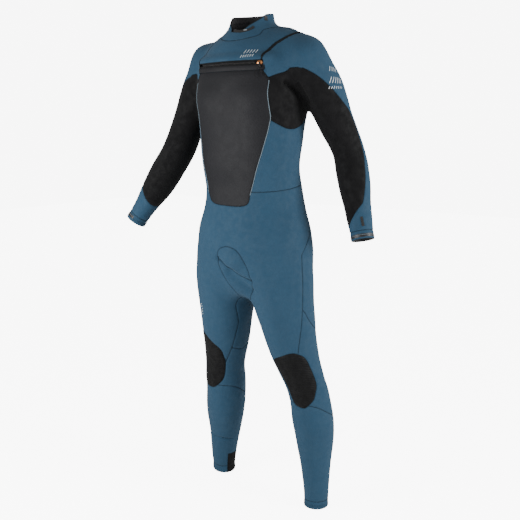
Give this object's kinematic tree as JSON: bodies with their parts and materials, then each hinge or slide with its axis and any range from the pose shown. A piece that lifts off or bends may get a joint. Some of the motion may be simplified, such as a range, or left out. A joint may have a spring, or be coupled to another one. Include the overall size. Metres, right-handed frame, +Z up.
{
  "type": "full wetsuit",
  "caption": "Full-length wetsuit with a chest zip: sewn neoprene panels, a fold-back neck yoke and collar, sliding zip pull, knee pads and hem bands.",
  "frame": {"origin": "bottom centre of the suit's box, level with the lower ankle hem", "axes": "+Z up from the ankle hems to the collar, the wearer faces -Y, the wearer's left is +X"},
  "size_m": [0.7664, 0.2923, 1.459],
  "materials": {
    "blue_jersey": "matt nylon jersey, deep sea blue",
    "black_jersey": "matt nylon jersey, black",
    "mesh_skin": "fine embossed smooth skin, dark grey, low sheen",
    "knee_pad": "fine textured abrasion cloth, near black",
    "zip_plastic": "moulded plastic teeth, black",
    "webbing": "woven tape, black",
    "slider_metal": "copper-coloured metal, satin",
    "label": "printed rubber label, dark grey"
  },
  "bodies": {
    "suit": {"lower_zip_tape": "webbing", "lower_zip_teeth": "zip_plastic", "zip_end_stops": "zip_plastic", "zip_facing": "mesh_skin", "zip_barrier": "mesh_skin", "chest_panel": "mesh_skin", "back_panel": "mesh_skin", "crotch_gusset": "blue_jersey", "front_body": "blue_jersey", "seat_panel": "blue_jersey", "left_wrist_label": "label", "left_underarm_panel": "black_jersey", "left_flank_panel": "blue_jersey", "left_sleeve": "blue_jersey", "left_knee_pad": "knee_pad", "left_hamstring_panel": "blue_jersey", "left_heel_patch": "black_jersey", "left_lower_leg": "blue_jersey", "left_wrist_band": "blue_jersey", "left_ankle_band": "blue_jersey", "right_underarm_panel": "black_jersey", "right_flank_panel": "blue_jersey", "right_sleeve": "blue_jersey", "right_knee_pad": "knee_pad", "right_hamstring_panel": "blue_jersey", "right_heel_patch": "black_jersey", "right_lower_leg": "blue_jersey", "right_wrist_band": "blue_jersey", "right_ankle_band": "blue_jersey"},
    "neck_yoke": {"neck_collar": "blue_jersey", "collar_lining": "black_jersey", "front_yoke": "blue_jersey", "back_yoke": "blue_jersey", "upper_zip_tape": "webbing", "upper_zip_teeth": "zip_plastic"},
    "zip_slider_body": {"zip_slider": "slider_metal"},
    "zip_pull": {"zip_pull_tab": "slider_metal", "zip_pull_loop": "webbing"}
  },
  "joints": [
    {"name": "yoke_fold", "type": "hinge", "parent": "suit", "child": "neck_yoke", "pos_m": [0.0255, 0.079, 1.376], "axis": [-1, 0, 0], "range_deg": [0, 75]},
    {"name": "zip_slide", "type": "hinge", "parent": "suit", "child": "zip_slider_body", "pos_m": [0.0255, 0.203, 1.314], "axis": [0, 0, -1], "range_deg": [0, 36.3]},
    {"name": "pull_swing", "type": "hinge", "parent": "zip_slider_body", "child": "zip_pull", "pos_m": [0.12552, -0.11504, 1.314], "axis": [-0.9539, -0.3, 0], "range_deg": [0, 140]}
  ]
}
